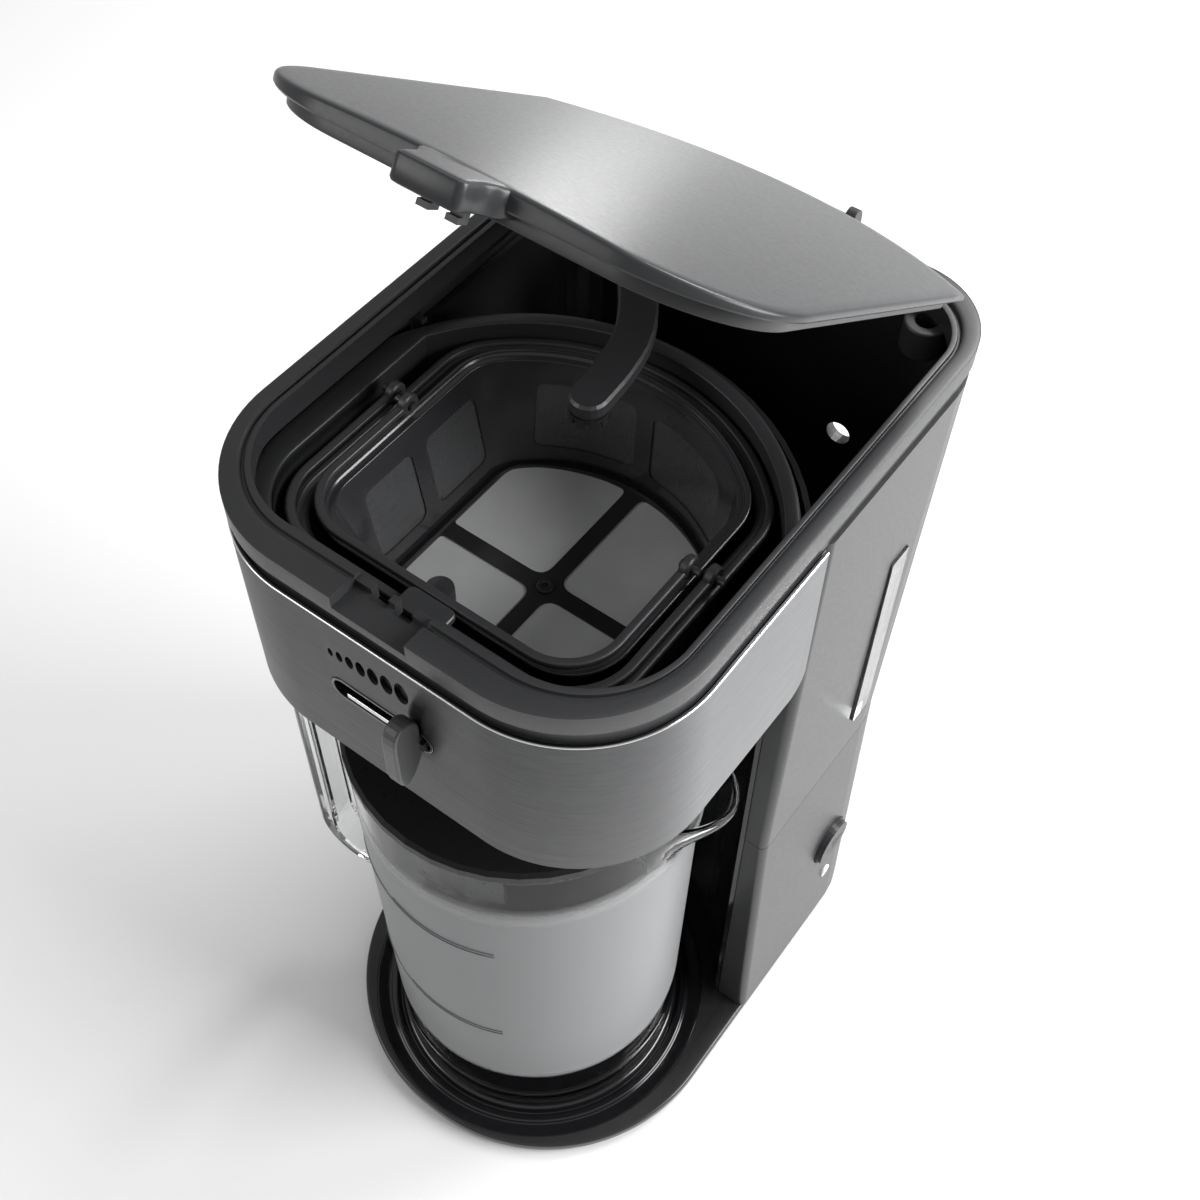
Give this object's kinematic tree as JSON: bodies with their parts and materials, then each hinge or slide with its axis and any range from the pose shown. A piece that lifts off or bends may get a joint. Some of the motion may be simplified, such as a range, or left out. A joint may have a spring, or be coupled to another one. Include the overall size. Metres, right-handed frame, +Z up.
{
  "type": "drip coffee maker",
  "caption": "Drip brewer for iced coffee and tea with hinged lid, brew basket, swinging spray arm and a clear pitcher.",
  "frame": {"origin": "on the standing plane, under the middle of the bounding box", "axes": "+Z up, -Y towards the front where the pitcher is pulled out, +X towards the side with the power button"},
  "size_m": [0.1788, 0.218, 0.4557],
  "materials": {
    "charcoal_plastic": "satin, very fine grain",
    "rim_plastic": "satin, very fine grain",
    "black_plastic": "matte",
    "gloss_black": "high gloss",
    "steel_band": "brushed along its length",
    "polished_metal": "polished",
    "aluminium": "as extruded",
    "frosted_plastic": "frosted, translucent",
    "clear_plastic": "clear",
    "filter_mesh": "fine woven nylon",
    "rubber": "matte",
    "silicone": "milky silicone",
    "lamp_lens": "milky lens"
  },
  "bodies": {
    "body": {"base_plate": "charcoal_plastic", "base_cover": "black_plastic", "drip_tray": "gloss_black", "lower_shell": "charcoal_plastic", "column_shell": "charcoal_plastic", "bay_liner": "gloss_black", "reservoir_tank": "black_plastic", "riser_seal": "silicone", "head_shell": "charcoal_plastic", "steel_band": "steel_band", "slot_bezel": "polished_metal", "brew_well": "charcoal_plastic", "top_rim": "rim_plastic", "hinge_pin": "polished_metal", "level_window": "clear_plastic", "button_bezel": "gloss_black", "switch_body": "black_plastic", "pilot_lamp": "lamp_lens", "cord_inlet": "rubber", "terminal_block": "silicone", "heater_tube": "aluminium", "heater_plate": "aluminium", "thermostat": "polished_metal", "thermal_fuse": "silicone", "check_valve": "black_plastic", "cold_hose_lower": "silicone", "cold_hose_upper": "silicone", "hot_hose": "silicone", "riser_tube": "black_plastic", "foot_front_left": "rubber", "foot_front_right": "rubber", "foot_middle_left": "rubber", "foot_middle_right": "rubber", "foot_back_left": "rubber", "foot_back_right": "rubber"},
    "lid": {"lid_shell": "rim_plastic", "lid_liner": "charcoal_plastic", "lid_hook_left": "charcoal_plastic", "lid_hook_right": "charcoal_plastic"},
    "arm": {"spray_arm": "rim_plastic", "spray_rose": "black_plastic"},
    "basket": {"brew_basket": "charcoal_plastic", "drip_valve": "rubber", "basket_pin_left": "charcoal_plastic", "basket_pin_right": "charcoal_plastic"},
    "basket_bail_body": {"basket_bail": "charcoal_plastic"},
    "filter": {"filter_frame": "charcoal_plastic", "filter_floor_mesh": "filter_mesh", "filter_side_mesh": "filter_mesh", "filter_pin_left": "charcoal_plastic", "filter_pin_right": "charcoal_plastic"},
    "filter_bail_body": {"filter_bail": "charcoal_plastic"},
    "lever": {"strength_lever": "charcoal_plastic", "lever_slider": "silicone", "lever_clip": "black_plastic"},
    "button": {"power_button": "rim_plastic"},
    "float": {"level_float": "silicone"},
    "pitcher_body": {"pitcher": "frosted_plastic", "pitcher_handle": "clear_plastic"},
    "pitcher_lid_body": {"pitcher_lid": "black_plastic"}
  },
  "joints": [
    {"name": "lid_hinge", "type": "hinge", "parent": "body", "child": "lid", "pos_m": [0.00918, 0.10605, 0.3395], "axis": [-1, 0, 0], "range_deg": [-33.8, 56]},
    {"name": "arm_swivel", "type": "hinge", "parent": "body", "child": "arm", "pos_m": [-0.02482, 0.06535, 0.334], "axis": [0, 0, 1], "range_deg": [-25, 65]},
    {"name": "basket_lift", "type": "slide", "parent": "body", "child": "basket", "axis": [0, 0, 1], "range_m": [0, 0.005]},
    {"name": "basket_bail_hinge", "type": "hinge", "parent": "basket", "child": "basket_bail_body", "pos_m": [0.00918, -0.02315, 0.3256], "axis": [-1, 0, 0], "range_deg": [0, 90]},
    {"name": "filter_lift", "type": "slide", "parent": "basket", "child": "filter", "axis": [0, 0, 1], "range_m": [0, 0.0035]},
    {"name": "filter_bail_hinge", "type": "hinge", "parent": "filter", "child": "filter_bail_body", "pos_m": [0.00918, -0.02515, 0.3268], "axis": [-1, 0, 0], "range_deg": [0, 75]},
    {"name": "lever_slide", "type": "slide", "parent": "body", "child": "lever", "axis": [-1, 0, 0], "range_m": [0, 0.024]},
    {"name": "button_press", "type": "slide", "parent": "body", "child": "button", "axis": [-1, 0, 0], "range_m": [0, 0.002], "stiffness_N_per_m": 400, "springref_m": -0.001},
    {"name": "float_rise", "type": "slide", "parent": "body", "child": "float", "axis": [0, 0, 1], "range_m": [0, 0.085]},
    {"name": "pitcher_slide", "type": "slide", "parent": "body", "child": "pitcher_body", "axis": [0, -1, 0], "range_m": [0, 0.15]},
    {"name": "pitcher_lid_turn", "type": "hinge", "parent": "pitcher_body", "child": "pitcher_lid_body", "pos_m": [0.00918, -0.03665, 0.222], "axis": [0, 0, 1], "range_deg": [-90, 90]}
  ]
}
